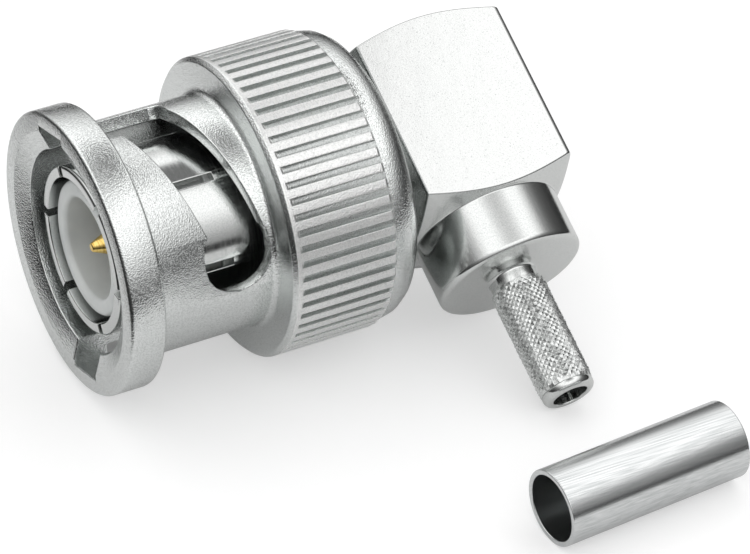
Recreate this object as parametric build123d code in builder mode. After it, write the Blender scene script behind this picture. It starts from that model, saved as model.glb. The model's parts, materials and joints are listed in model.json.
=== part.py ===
from build123d import *
import os
from math import asin, atan2, cos, degrees, hypot, radians, sin, tan

os.makedirs("parts", exist_ok=True)

# Right-angle bayonet plug for thin coaxial cable, in millimetres.
# X is the mating axis and runs to the back, Z is up, and the origin is the middle of the
# front end of the slotted outer contact. The plug lies on its knurl and the end of its stem.

# Clearances
running_fit = 0.08  # between pieces that turn or slide on each other
seat_fit = 0.02  # between pieces that are seated for good

# Outer contact: slotted sleeve, shank, shoulder and spigot
sleeve_radius = 4.05
sleeve_wall = 0.55
sleeve_length = 8.35
sleeve_tip_bevel = 0.15
slot_count = 6
slot_width = 0.40
slot_length = 5.85
slot_start = 30.0  # first slot, from the elbow's own side
shank_radius = 4.30
shoulder_radius = 5.00
shoulder_thickness = 0.75
neck_radius = 3.70
spigot_radius = 3.00
spigot_length = 1.30
dielectric_radius = 2.26

# Centre contact and the two insulators
pin_radius = 0.675
pin_recess = 0.55
pin_cone_length = 1.15
pin_nose_radius = 0.20
pin_shank_radius = 0.85
pin_collar_radius = 1.05
pin_collar_length = 0.80
pin_solder_reach = 0.90
solder_slot_width = 0.55
solder_slot_length = 1.50
insulator_recess = 0.30
insulator_radius = 3.25
insulator_bore = 2.43
insulator_bore_end = 5.60
insulator_foot_length = 2.00
rear_insulator_overhang = 0.35

# Spring stack inside the nut, from front to back
gasket_thickness = 1.55
ring_thickness = 0.60
ring_seat_depth = 0.50
ring_gap_angle = 22.0
washer_thickness = 0.25
wave_thickness = 0.20
wave_height = 0.63
wave_count = 3
wave_steps = 6  # spans of the loft in each wave
nut_rib_thickness = 1.00

# Coupling nut
nut_overhang = 0.65
nut_bore = 4.90
mouth_radius = 5.85
mouth_depth = 0.38
flange_radius = 6.80
flange_thickness = 1.77
flange_edge_bevel = 0.12
barrel_radius = 5.58
barrel_length = 5.93
ring_root_bevel = 0.30
knurl_radius = 7.25
knurl_lead = 0.41
knurl_count = 60
knurl_depth = 0.26
groove_width = 0.34
rear_band_drop = 0.20
rear_band_width = 0.36
rear_round = 1.20
nut_recess_depth = 0.85

# Bayonet ways, one on each side of the nut
way_count = 2
keyway_angle = 72.4
keyway_width = 2.40
keyway_radius = 5.97
way_corner_round = 0.45
way_turn = 90.0
ramp_steps = 5
pocket_radius = 1.65
pocket_spread = 0.40
lip_height = 0.33
front_edge_rise = 1.70
rear_edge_rise = 1.85

# Elbow body: square bar turned at both ends
nut_gap = 1.01
block_width = 7.71
block_above = 4.93
block_below = 4.46
bar_edge_break = 0.10
end_bevel = 21.0
crown_radius = 3.30
collar_radius = 3.61
collar_reach = 7.49
collar_chamfer = 0.27
stem_radius = 1.335
stem_reach = 14.07
stem_tip_bevel = 0.30
stem_root_bevel = 0.35
stem_bore = 0.85
chamber_radius = 2.60
cap_radius = 3.20
cap_thickness = 1.30
cap_chamfer = 0.20
cap_recess = 0.08
chamber_insulator_thickness = 1.25

# Crimp ferrule, lying on the same surface beside the stem
ferrule_radius = 1.85
ferrule_wall = 0.26
ferrule_length = 9.70
ferrule_edge_bevel = 0.06
ferrule_yaw = 4.2
ferrule_setback = 5.23
ferrule_distance = 7.25

# Places along the mating axis
flange_front = -nut_overhang
flange_rear = flange_front + flange_thickness
ring_start = flange_rear + barrel_length
ring_front = ring_start + ring_root_bevel
knurl_start = ring_front + knurl_lead
gasket_front = sleeve_length + seat_fit
ring_groove_front = gasket_front + gasket_thickness + seat_fit
ring_groove_rear = ring_groove_front + ring_thickness + 2 * seat_fit
seat_washer_front = ring_groove_rear
front_wave_start = seat_washer_front + washer_thickness + seat_fit
rear_wave_start = front_wave_start + wave_height + seat_fit
thrust_washer_front = rear_wave_start + wave_height + seat_fit
rib_front = thrust_washer_front + washer_thickness + seat_fit
rib_rear = rib_front + nut_rib_thickness
nut_rear = rib_rear + nut_recess_depth
knurl_end = nut_rear - rear_round - rear_band_width
shoulder_front = rib_rear + seat_fit
shoulder_rear = shoulder_front + shoulder_thickness
block_front = nut_rear + nut_gap
block_rear = block_front + block_width
stem_x = (block_front + block_rear) / 2
spigot_rear = block_front + spigot_length
cap_front = block_rear - cap_recess - cap_thickness
foot_rear = insulator_bore_end + insulator_foot_length
pin_rear = stem_x + pin_solder_reach
pin_collar_front = foot_rear - pin_collar_length
rear_insulator_rear = spigot_rear + rear_insulator_overhang

# Radii that follow from their neighbours
sleeve_bore = sleeve_radius - sleeve_wall
sleeve_middle = sleeve_radius - sleeve_wall / 2
washer_outer = nut_bore - running_fit
washer_inner = shank_radius + running_fit / 2
ring_groove_radius = shank_radius - ring_seat_depth
band_radius = knurl_radius - rear_band_drop
rib_bore = shank_radius + running_fit
recess_radius = shoulder_radius + running_fit
root_radius = min(barrel_radius + ring_root_bevel, (barrel_radius + knurl_radius - knurl_lead) / 2)
back_round = min(rear_round, (band_radius - recess_radius) * 0.8)
back_step = back_round * (1 - cos(radians(45)))  # middle of the rounding, turned as two tapers
pin_clear_radius = pin_shank_radius + seat_fit

# Roll about the mating axis that brings the end of the stem down to the level of the knurl
tip_run = stem_reach - stem_tip_bevel
tip_rise = stem_radius
roll = degrees(
    asin(knurl_radius / hypot(tip_run, tip_rise)) - atan2(tip_rise, tip_run)
)
stem_down = (0, -cos(radians(roll)), -sin(radians(roll)))
face_normal = (0, -sin(radians(roll)), cos(radians(roll)))
slot_angle = slot_start + roll
stem_axis = Axis((stem_x, 0, 0), stem_down)
elbow_plane = Plane(origin=(stem_x, 0, 0), x_dir=(1, 0, 0), z_dir=face_normal)


def across(x):
    """Plane square to the mating axis at x, with its own X along the row's Y."""
    return Plane(origin=(x, 0, 0), x_dir=(0, 1, 0), z_dir=(1, 0, 0))


def tangent_plane(angle, radius):
    """Plane square to a radius at an angle about the mating axis, its own X along that axis."""
    out = (0, cos(radians(angle)), sin(radians(angle)))
    return Plane(origin=(0, radius * out[1], radius * out[2]), x_dir=(1, 0, 0), z_dir=out)


def half_plane(angle):
    """Plane through the mating axis at an angle about it: its X is axial and its Y radial."""
    turn_way = (0, -sin(radians(angle)), cos(radians(angle)))
    return Plane(origin=(0, 0, 0), x_dir=(1, 0, 0), z_dir=turn_way)


def stem_plane(reach):
    """Plane square to the stem at a distance down it from the mating axis."""
    origin = (stem_x, reach * stem_down[1], reach * stem_down[2])
    return Plane(origin=origin, x_dir=(1, 0, 0), z_dir=stem_down)


def flat_ring(front, thickness, inner, outer):
    """Plain ring or disc about the mating axis."""
    with BuildPart() as ring:
        with BuildSketch(across(front)):
            Circle(outer)
            if inner:
                Circle(inner, mode=Mode.SUBTRACT)
        extrude(amount=thickness)
    return ring.part


def wave_ring(front, phase):
    """Spring ring that rises and falls wave_count times between its flat neighbours."""
    swing = (wave_height - wave_thickness) / 2
    with BuildPart() as wave:
        for lobe in range(wave_count):
            for step in range(wave_steps + 1):
                turn = step / wave_steps * 360
                x = front + wave_height / 2 + swing * cos(radians(turn))
                angle = (lobe * 360 + turn + phase) / wave_count
                with BuildSketch(half_plane(angle)):
                    with Locations((x, (washer_inner + washer_outer) / 2)):
                        Rectangle(wave_thickness, washer_outer - washer_inner)
            loft()
    return wave.part


# Bayonet way: the space that a stud of the socket takes through the barrel wall
def bayonet_way(angle):
    """Entry behind the keyway, ramp round a quarter turn, and the pocket at its end."""
    pocket_x = ring_start - pocket_radius
    front_edge_end = pocket_x - pocket_radius + lip_height
    rear_edge_start = ring_start - rear_edge_rise
    key_half_angle = degrees(asin(keyway_width / 2 / barrel_radius))
    cut_inner = (sleeve_radius + nut_bore) / 2
    cut_outer = (barrel_radius + flange_radius) / 2

    with BuildPart() as entry:
        with BuildSketch(tangent_plane(angle, cut_inner)) as entry_outline:
            with Locations(((flange_rear + rear_edge_start) / 2, 0)):
                Rectangle(rear_edge_start - flange_rear, keyway_width)
            fillet(entry_outline.vertices().group_by(Axis.X)[-1], way_corner_round)
        extrude(amount=cut_outer - cut_inner)

    with BuildPart() as ramp:
        for step in range(ramp_steps + 1):
            share = step / ramp_steps
            turn = share * way_turn
            front_share = min((turn - key_half_angle) / (way_turn - 2 * key_half_angle), 1)
            front_x = front_edge_end - front_edge_rise * (1 - front_share)
            rear_x = rear_edge_start + rear_edge_rise * share
            with BuildSketch(half_plane(angle + turn)):
                with Locations(((front_x + rear_x) / 2, (cut_inner + cut_outer) / 2)):
                    Rectangle(rear_x - front_x, cut_outer - cut_inner)
        loft()

    with BuildPart() as way:
        with BuildSketch(tangent_plane(angle + way_turn, cut_inner)):
            with Locations((pocket_x, 0)):
                SlotCenterToCenter(pocket_spread, 2 * pocket_radius, rotation=90)
        extrude(amount=cut_outer - cut_inner)
        add(entry.part)
        add(ramp.part)
    return way.part


way_angles = [keyway_angle + way * 360 / way_count for way in range(way_count)]
ways = [bayonet_way(angle) for angle in way_angles]

# Coupling nut
with BuildPart() as coupling_nut:
    with BuildSketch(Plane.XY):
        with BuildLine():
            Polyline(
                (flange_front, mouth_radius),
                (flange_front + mouth_depth, nut_bore),
                (rib_front, nut_bore),
                (rib_front, rib_bore),
                (rib_rear, rib_bore),
                (rib_rear, recess_radius),
                (nut_rear, recess_radius),
                (nut_rear, band_radius - back_round),
                (nut_rear - back_step, band_radius - back_step),
                (nut_rear - back_round, band_radius),
                (knurl_end, band_radius),
                (knurl_end, knurl_radius),
                (knurl_start - knurl_lead / 2, knurl_radius),
                (ring_front, knurl_radius - knurl_lead / 2),
                (ring_front, root_radius),
                (ring_start, barrel_radius),
                (flange_rear, barrel_radius),
                (flange_rear, flange_radius),
                (flange_front, flange_radius),
                close=True,
            )
        make_face()
    revolve(axis=Axis.X)
    rims = coupling_nut.edges().filter_by(GeomType.CIRCLE)
    flange_rims = rims.filter_by(lambda rim: abs(rim.radius - flange_radius) < seat_fit)
    chamfer(flange_rims, flange_edge_bevel)

    # Knurl of straight grooves
    with BuildSketch(across(knurl_start)):
        with PolarLocations(knurl_radius, knurl_count):
            Rectangle(2 * knurl_depth, groove_width)
    extrude(amount=knurl_end - knurl_start, mode=Mode.SUBTRACT)

    # Keyways through the flange
    with BuildSketch(across(flange_front)):
        with PolarLocations(keyway_radius / 2, way_count, start_angle=keyway_angle):
            Rectangle(keyway_radius, keyway_width)
    extrude(amount=flange_thickness, mode=Mode.SUBTRACT)
    add(ways, mode=Mode.SUBTRACT)
coupling_nut.part.label = "coupling_nut"

# Outer contact, turned from one bar and slotted at the front
with BuildPart() as outer_contact:
    with BuildSketch(Plane.XY):
        with BuildLine():
            Polyline(
                (0, sleeve_radius - sleeve_tip_bevel),
                (sleeve_tip_bevel, sleeve_radius),
                (sleeve_length, sleeve_radius),
                (sleeve_length, shank_radius),
                (ring_groove_front, shank_radius),
                (ring_groove_front, ring_groove_radius),
                (ring_groove_rear, ring_groove_radius),
                (ring_groove_rear, shank_radius),
                (shoulder_front, shank_radius),
                (shoulder_front, shoulder_radius),
                (shoulder_rear, shoulder_radius),
                (shoulder_rear, neck_radius),
                (block_front, neck_radius),
                (block_front, spigot_radius),
                (spigot_rear, spigot_radius),
                (spigot_rear, dielectric_radius),
                (foot_rear, dielectric_radius),
                (foot_rear, sleeve_bore),
                (0, sleeve_bore),
                close=True,
            )
        make_face()
    revolve(axis=Axis.X)
    with BuildSketch(across(0)):
        with PolarLocations(sleeve_middle, slot_count, start_angle=slot_angle):
            Rectangle(2 * sleeve_wall, slot_width)
    extrude(amount=slot_length, mode=Mode.SUBTRACT)
outer_contact.part.label = "outer_contact"

# Front insulator: open tube round the pin, on a solid foot
with BuildPart() as front_insulator:
    with BuildSketch(Plane.XY):
        with BuildLine():
            Polyline(
                (insulator_recess, insulator_bore),
                (insulator_recess, insulator_radius),
                (insulator_bore_end, insulator_radius),
                (insulator_bore_end, sleeve_bore - seat_fit),
                (foot_rear - seat_fit, sleeve_bore - seat_fit),
                (foot_rear - seat_fit, pin_collar_radius + seat_fit),
                (pin_collar_front, pin_collar_radius + seat_fit),
                (pin_collar_front, pin_clear_radius),
                (insulator_bore_end, pin_clear_radius),
                (insulator_bore_end, insulator_bore),
                close=True,
            )
        make_face()
    revolve(axis=Axis.X)
front_insulator.part.label = "front_insulator"

# Centre contact: pin, shank with a collar between the insulators, and a slotted solder end
with BuildPart() as centre_contact:
    with BuildSketch(Plane.XY):
        with BuildLine():
            Polyline(
                (pin_recess, 0),
                (pin_recess, pin_nose_radius),
                (pin_recess + pin_cone_length, pin_radius),
                (insulator_bore_end + seat_fit, pin_radius),
                (insulator_bore_end + seat_fit, pin_shank_radius),
                (pin_collar_front + seat_fit, pin_shank_radius),
                (pin_collar_front + seat_fit, pin_collar_radius),
                (foot_rear, pin_collar_radius),
                (foot_rear, pin_shank_radius),
                (pin_rear, pin_shank_radius),
                (pin_rear, 0),
                close=True,
            )
        make_face()
    revolve(axis=Axis.X)
    with BuildSketch(Plane(origin=(pin_rear, 0, 0), x_dir=stem_down, z_dir=(-1, 0, 0))):
        Rectangle(2 * pin_collar_radius, solder_slot_width)
    extrude(amount=solder_slot_length, mode=Mode.SUBTRACT)
centre_contact.part.label = "centre_contact"

# Rear insulator: plain bush round the pin through the spigot
rear_insulator = flat_ring(
    foot_rear + seat_fit,
    rear_insulator_rear - foot_rear - seat_fit,
    pin_clear_radius,
    dielectric_radius - seat_fit,
)
rear_insulator.label = "rear_insulator"

# Elbow body, sawn from square bar and turned at both ends about the stem
with BuildPart() as elbow_body:
    half_width = block_width / 2
    turned_radius = block_width  # past the corners of the bar
    bevel = tan(radians(end_bevel))
    with BuildSketch(stem_plane(-block_above - half_width)):
        Rectangle(block_width, block_width)
    extrude(amount=block_above + half_width + stem_reach)
    chamfer(elbow_body.edges().filter_by(stem_axis), bar_edge_break)
    with BuildSketch(elbow_plane):
        with BuildLine():
            Polyline(
                (0, -stem_reach),
                (0, block_above + (half_width - crown_radius) * bevel),
                (crown_radius, block_above + (half_width - crown_radius) * bevel),
                (turned_radius, block_above - (turned_radius - half_width) * bevel),
                (turned_radius, -block_below + (turned_radius - half_width) * bevel),
                (collar_radius, -block_below - (half_width - collar_radius) * bevel),
                (collar_radius, -collar_reach + collar_chamfer),
                (collar_radius - collar_chamfer, -collar_reach),
                (stem_radius + stem_root_bevel, -collar_reach),
                (stem_radius, -collar_reach - stem_root_bevel),
                (stem_radius, -stem_reach + stem_tip_bevel),
                (stem_radius - stem_tip_bevel, -stem_reach),
                close=True,
            )
        make_face()
    revolve(axis=stem_axis, mode=Mode.INTERSECT)

    # Seat for the spigot, chamber over the solder joint, and seat for the cap
    with BuildSketch(across(block_front)):
        Circle(spigot_radius + seat_fit)
    extrude(amount=spigot_length + seat_fit, mode=Mode.SUBTRACT)
    with BuildSketch(across(spigot_rear)):
        Circle(chamber_radius)
    extrude(amount=cap_front - spigot_rear, mode=Mode.SUBTRACT)
    with BuildSketch(across(block_rear)):
        Circle(cap_radius + seat_fit)
    extrude(amount=-(block_rear - cap_front), mode=Mode.SUBTRACT)

    # Way for the cable's core, up the stem into the chamber
    with BuildSketch(stem_plane(stem_reach)):
        Circle(stem_bore)
    extrude(amount=-stem_reach, mode=Mode.SUBTRACT)
elbow_body.part.label = "elbow_body"

# Chamber insulator under the cap
chamber_insulator = flat_ring(
    cap_front - seat_fit - chamber_insulator_thickness,
    chamber_insulator_thickness,
    0,
    chamber_radius - seat_fit,
)
chamber_insulator.label = "chamber_insulator"

# Cap pressed into the back of the elbow once the joint is soldered
with BuildPart() as access_cap:
    with BuildSketch(across(cap_front)):
        Circle(cap_radius)
    extrude(amount=cap_thickness)
    chamfer(access_cap.faces().sort_by(Axis.X)[-1].edges(), cap_chamfer)
access_cap.part.label = "access_cap"

# Gasket and flat washers
gasket = flat_ring(gasket_front, gasket_thickness, washer_inner, washer_outer)
gasket.label = "gasket"
seat_washer = flat_ring(
    seat_washer_front, washer_thickness, washer_inner, washer_outer
)
seat_washer.label = "seat_washer"
thrust_washer = flat_ring(
    thrust_washer_front, washer_thickness, washer_inner, washer_outer
)
thrust_washer.label = "thrust_washer"

# Wave washers, crest against crest
front_wave_washer = wave_ring(front_wave_start, 0)
front_wave_washer.label = "front_wave_washer"
rear_wave_washer = wave_ring(rear_wave_start, 180)
rear_wave_washer.label = "rear_wave_washer"

# Split retaining ring in its groove
with BuildPart() as retaining_ring:
    with BuildSketch(across(ring_groove_front + seat_fit)):
        Circle(washer_outer)
        Circle(ring_groove_radius + seat_fit, mode=Mode.SUBTRACT)
        with PolarLocations(washer_outer, 1, start_angle=slot_angle):
            Rectangle(
                2 * (washer_outer - ring_groove_radius),
                2 * washer_outer * sin(radians(ring_gap_angle / 2)),
                mode=Mode.SUBTRACT,
            )
    extrude(amount=ring_thickness)
retaining_ring.part.label = "retaining_ring"

# Crimp ferrule: plain tube with both rims eased
ferrule_origin = (
    stem_x - ferrule_setback,
    stem_reach * stem_down[1] - ferrule_distance,
    ferrule_radius - knurl_radius,
)
ferrule_way = (cos(radians(ferrule_yaw)), sin(radians(ferrule_yaw)), 0)
with BuildPart() as crimp_ferrule:
    with BuildSketch(Plane(origin=ferrule_origin, z_dir=ferrule_way)):
        Circle(ferrule_radius)
        Circle(ferrule_radius - ferrule_wall, mode=Mode.SUBTRACT)
    extrude(amount=ferrule_length)
    chamfer(crimp_ferrule.edges().filter_by(GeomType.CIRCLE), ferrule_edge_bevel)
crimp_ferrule.part.label = "crimp_ferrule"

pieces = [
    coupling_nut.part,
    outer_contact.part,
    front_insulator.part,
    centre_contact.part,
    rear_insulator,
    elbow_body.part,
    chamber_insulator,
    access_cap.part,
    gasket,
    retaining_ring.part,
    seat_washer,
    front_wave_washer,
    rear_wave_washer,
    thrust_washer,
    crimp_ferrule.part,
]
for piece in pieces:
    export_step(piece, f"parts/{piece.label}.step")
print(f"{len(pieces)} pieces, lying at a roll of {roll:.2f} degrees")
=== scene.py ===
import json
from math import asin, atan2, cos, degrees, pi, radians, sin, tan
from random import Random

import bmesh
import bpy
from mathutils import Matrix, Vector


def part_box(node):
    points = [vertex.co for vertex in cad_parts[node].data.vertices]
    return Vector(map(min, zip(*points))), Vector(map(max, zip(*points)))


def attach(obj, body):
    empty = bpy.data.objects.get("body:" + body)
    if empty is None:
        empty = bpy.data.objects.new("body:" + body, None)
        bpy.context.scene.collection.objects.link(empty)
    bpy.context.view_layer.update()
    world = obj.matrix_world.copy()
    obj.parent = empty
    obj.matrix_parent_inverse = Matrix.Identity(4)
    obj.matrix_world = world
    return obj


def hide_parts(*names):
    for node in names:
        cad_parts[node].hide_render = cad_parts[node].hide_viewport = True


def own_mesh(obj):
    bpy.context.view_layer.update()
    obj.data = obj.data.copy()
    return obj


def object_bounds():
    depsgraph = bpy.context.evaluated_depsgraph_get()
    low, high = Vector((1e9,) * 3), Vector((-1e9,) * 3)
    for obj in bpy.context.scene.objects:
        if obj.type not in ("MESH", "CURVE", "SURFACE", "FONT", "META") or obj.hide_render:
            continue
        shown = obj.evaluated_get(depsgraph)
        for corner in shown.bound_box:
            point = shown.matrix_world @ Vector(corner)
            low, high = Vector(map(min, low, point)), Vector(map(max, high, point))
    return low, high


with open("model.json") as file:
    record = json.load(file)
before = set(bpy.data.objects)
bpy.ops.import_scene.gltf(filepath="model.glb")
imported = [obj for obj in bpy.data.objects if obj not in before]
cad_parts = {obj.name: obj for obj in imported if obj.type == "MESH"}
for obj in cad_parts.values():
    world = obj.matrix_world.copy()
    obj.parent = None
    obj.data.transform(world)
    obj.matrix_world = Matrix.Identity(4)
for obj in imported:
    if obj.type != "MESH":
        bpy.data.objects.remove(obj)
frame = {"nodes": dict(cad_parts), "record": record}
cadLow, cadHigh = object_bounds()
print("frame loaded:", len(frame["nodes"]), "nodes")

# Pieces are shaped in millimetres about the mating axis, which is X, and shrunk to metres when finished
mm = 0.001
hair = 0.01  # mm, a margin for telling faces by their place
nodes = frame["nodes"]
scene = bpy.context.scene
scene.view_settings.view_transform = "Standard"

# A long lens looking down on the plug
lens = {
    "aim": (11.295, -7.590, 0.0),  # mm, a point beside the elbow
    "distance": 224.87,
    "azimuth": 29.52,  # degrees from +Y towards +X
    "elevation": 38.41,
    "twist": 2.31,
    "focal": 235.9,
}


def makeCamera():
    data = bpy.data.cameras.new("studioCamera")
    data.lens = lens["focal"]
    data.clip_start = 0.01
    data.clip_end = 20
    camera = bpy.data.objects.new("studioCamera", data)
    scene.collection.objects.link(camera)
    azimuth, elevation = radians(lens["azimuth"]), radians(lens["elevation"])
    look = Vector((sin(azimuth) * cos(elevation), cos(azimuth) * cos(elevation), -sin(elevation)))
    turn = Matrix.Rotation(-azimuth, 4, "Z") @ Matrix.Rotation(pi / 2 - elevation, 4, "X")
    turn = turn @ Matrix.Rotation(radians(lens["twist"]), 4, "Z")
    place = (Vector(lens["aim"]) - look * lens["distance"]) * mm
    camera.matrix_world = Matrix.Translation(place) @ turn
    scene.camera = camera


makeCamera()


# Node helpers
def addNode(tree, kind, **inputs):
    node = tree.nodes.new("ShaderNode" + kind)
    for name, value in inputs.items():
        socket = node.inputs[name.replace("_", " ")]
        if isinstance(value, bpy.types.NodeSocket):
            tree.links.new(value, socket)
        else:
            socket.default_value = value
    return node


def newMaterial(name):
    material = bpy.data.materials.new(name)
    material.use_nodes = True
    return material, material.node_tree, material.node_tree.nodes["Principled BSDF"]


def objectPlace(tree, turn=(0, 0, 0), stretch=(1, 1, 1)):
    # Object coordinates, turned and stretched: the place on the piece in metres
    mapping = addNode(tree, "Mapping", Vector=addNode(tree, "TexCoord").outputs["Object"])
    mapping.inputs["Rotation"].default_value = turn
    mapping.inputs["Scale"].default_value = stretch
    return mapping.outputs["Vector"]


def noise(tree, place, grainSize, detail=2.0, roughness=0.5):
    node = addNode(tree, "TexNoise", Vector=place, Scale=1 / (grainSize * mm), Detail=detail,
                   Roughness=roughness)
    return node.outputs["Fac"]


def remap(tree, value, low, high, toLow, toHigh):
    node = addNode(tree, "MapRange", Value=value, From_Min=low, From_Max=high, To_Min=toLow, To_Max=toHigh)
    return node.outputs["Result"]


def math(tree, operation, first, second):
    node = tree.nodes.new("ShaderNodeMath")
    node.operation = operation
    for socket, value in zip(node.inputs, (first, second)):
        if isinstance(value, bpy.types.NodeSocket):
            tree.links.new(value, socket)
        else:
            socket.default_value = value
    return node.outputs[0]


def vectorMath(tree, operation, vector):
    node = tree.nodes.new("ShaderNodeVectorMath")
    node.operation = operation
    tree.links.new(vector, node.inputs[0])
    return node.outputs


def shade(tree, amount, dark, light):
    # Colour between two tones by an amount from 0 to 1
    node = tree.nodes.new("ShaderNodeMix")
    node.data_type = "RGBA"
    node.inputs[6].default_value = (*dark, 1)
    node.inputs[7].default_value = (*light, 1)
    tree.links.new(amount, node.inputs[0])
    return node.outputs[2]


def bump(tree, height, depth, normal=None):
    # Depth in millimetres for a height from 0 to 1
    node = addNode(tree, "Bump", Height=height, Strength=1.0, Distance=depth * mm)
    if normal is not None:
        tree.links.new(normal, node.inputs["Normal"])
    return node.outputs["Normal"]


# Finishes: the colour runs from dark to light over a span of the pattern, the roughness from its first
# value to its second over most of the pattern
patternSpan = (0.3, 0.7)


def dressMetal(tree, shader, finish, tone, wear, relief):
    # Tone and wear are the patterns of colour and roughness, relief has patterns with their depths
    shader.inputs["Metallic"].default_value = 1.0
    colour = shade(tree, remap(tree, tone, *finish["toneSpan"], 0.0, 1.0), finish["dark"], finish["light"])
    tree.links.new(colour, shader.inputs["Base Color"])
    tree.links.new(remap(tree, wear, *patternSpan, *finish["roughness"]), shader.inputs["Roughness"])
    normal = None
    for pattern, depth in relief:
        normal = bump(tree, pattern, depth, normal)
    tree.links.new(normal, shader.inputs["Normal"])


def toolMarks(tree, finish, turn=(0, 0, 0), detail=3.0):
    # Lines round the X axis, which change little on their way round it
    run = finish["lineRun"]
    return noise(tree, objectPlace(tree, turn, (1, run, run)), finish["line"], detail)


castFinish = {
    "dark": (0.63, 0.65, 0.64),
    "light": (0.84, 0.86, 0.85),
    "toneSpan": (0.3, 0.6),
    "grain": 0.070,  # mm, the sparkle of plated casting skin
    "grainDepth": 0.020,
    "layer": 0.5,  # place in the fourth dimension, between two layers of the grain
    "swell": 0.5,  # mm, slow unevenness under the grain
    "swellDepth": 0.005,
    "roughness": (0.18, 0.10),
}
# Lit and shaded copies of the cast nickel on the knurl, each also rougher than the cast skin: painted light
# on the ridge tops and painted shade in the groove floors
litRidgeFinish = dict(castFinish, dark=(0.80, 0.81, 0.80), light=(0.97, 0.97, 0.96), roughness=(0.44, 0.30),
                   grainDepth=0.028)
shadedGrooveFinish = dict(castFinish, dark=(0.46, 0.48, 0.47), light=(0.66, 0.68, 0.67), roughness=(0.38, 0.26))
# Painted shade: a dark copy of the cast nickel for faces turned away into shadow, the nut's rear and the
# block's face towards it
paintedShadeFinish = dict(castFinish, dark=(0.26, 0.28, 0.27), light=(0.40, 0.42, 0.41), roughness=(0.36, 0.24))
knurlFinish = dict(castFinish, dark=(0.68, 0.70, 0.69), light=(0.86, 0.87, 0.86), roughness=(0.34, 0.22),
                   grainDepth=0.008)


def castNickel(name, finish):
    material, tree, shader = newMaterial(name)
    place = objectPlace(tree)
    grain = noise(tree, place, finish["grain"], detail=1.0)
    grain.node.noise_dimensions = "4D"  # no layer of the grain then lies flat on the skin
    grain.node.inputs["W"].default_value = finish["layer"]
    swell = noise(tree, place, finish["swell"])
    relief = [(swell, finish["swellDepth"]), (grain, finish["grainDepth"])]
    dressMetal(tree, shader, finish, grain, grain, relief)
    return material


turnedFinish = {
    "dark": (0.64, 0.66, 0.65),
    "light": (0.76, 0.77, 0.76),
    "toneSpan": (0.3, 0.6),
    "line": 0.05,  # mm between tool marks
    "lineRun": 0.02,
    "lineDepth": 0.0006,
    "grain": 0.06,
    "grainDepth": 0.0012,
    "roughness": (0.10, 0.20),
}


def turnedNickel(name, turn=(0, 0, 0)):
    # The turn brings the piece's own axis to X
    material, tree, shader = newMaterial(name)
    lines = toolMarks(tree, turnedFinish, turn)
    grain = noise(tree, objectPlace(tree), turnedFinish["grain"])
    relief = [(lines, turnedFinish["lineDepth"]), (grain, turnedFinish["grainDepth"])]
    dressMetal(tree, shader, turnedFinish, grain, lines, relief)
    return material


barFinish = {
    "dark": (0.44, 0.46, 0.46),
    "light": (0.80, 0.81, 0.80),
    "toneSpan": (0.27, 0.39),  # low, so that only specks are dark
    "grain": 0.07,
    "grainDepth": 0.0030,
    "swell": 1.1,
    "swellDepth": 0.008,
    "roughness": (0.26, 0.16),
}


def barNickel():
    material, tree, shader = newMaterial("barNickel")
    place = objectPlace(tree)
    grain = noise(tree, place, barFinish["grain"], detail=3.0, roughness=0.6)
    swell = noise(tree, place, barFinish["swell"])
    relief = [(swell, barFinish["swellDepth"]), (grain, barFinish["grainDepth"])]
    dressMetal(tree, shader, barFinish, grain, grain, relief)
    return material


drawnFinish = {
    "dark": (0.58, 0.60, 0.60),
    "light": (0.80, 0.81, 0.81),
    "toneSpan": (0.3, 0.65),
    "streak": 0.06,  # mm across a die line
    "streakLength": 4.0,
    "streakDepth": 0.0020,
    "grain": 0.07,
    "grainDepth": 0.0014,
    "roughness": (0.26, 0.16),
}


def drawnNickel(yaw):
    # Die lines run along the tube, which lies at an angle to X
    material, tree, shader = newMaterial("drawnNickel")
    thin = drawnFinish["streak"] / drawnFinish["streakLength"]
    streaks = noise(tree, objectPlace(tree, (0, 0, -yaw), (thin, 1, 1)), drawnFinish["streak"], detail=3.0)
    grain = noise(tree, objectPlace(tree), drawnFinish["grain"])
    relief = [(streaks, drawnFinish["streakDepth"]), (grain, drawnFinish["grainDepth"])]
    dressMetal(tree, shader, drawnFinish, streaks, streaks, relief)
    return material


goldFinish = {
    "dark": (0.62, 0.38, 0.08),
    "light": (0.95, 0.70, 0.24),
    "toneSpan": (0.3, 0.55),
    "line": 0.06,
    "lineRun": 0.05,
    "lineDepth": 0.0012,
    "roughness": (0.14, 0.26),
}


def goldPlate():
    material, tree, shader = newMaterial("goldPlate")
    lines = toolMarks(tree, goldFinish)
    dressMetal(tree, shader, goldFinish, lines, lines, [(lines, goldFinish["lineDepth"])])
    return material


stripFinish = {
    "dark": (0.50, 0.49, 0.46),
    "light": (0.70, 0.69, 0.65),
    "toneSpan": (0.0, 1.0),
    "line": 0.05,
    "lineRun": 0.03,
    "lineDepth": 0.0015,
    "roughness": (0.22, 0.36),
}


def springStrip():
    # Rolled strip, with lines along one way of the sheet
    material, tree, shader = newMaterial("springStrip")
    place = objectPlace(tree, stretch=(1, stripFinish["lineRun"], 1))
    lines = noise(tree, place, stripFinish["line"], detail=3.0)
    dressMetal(tree, shader, stripFinish, lines, lines, [(lines, stripFinish["lineDepth"])])
    return material


shadedPlasticFinish = {
    # Painted shade: mid-grey tones for white plastic that sits in shade inside the nut
    "dark": (0.46, 0.48, 0.48),
    "light": (0.62, 0.64, 0.63),
    "cloud": 1.6,  # mm, slow change of tone
    "cloudSpan": (0.2, 0.6),
    "cloudTone": (0.4, 1.0),
    "line": 0.08,
    "lineRun": 0.05,
    "lineDepth": 0.0015,
    "roughness": 0.45,
    "waxy": 0.6,  # share of light that goes through the skin
    "waxyDepth": 0.5,
}


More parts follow.
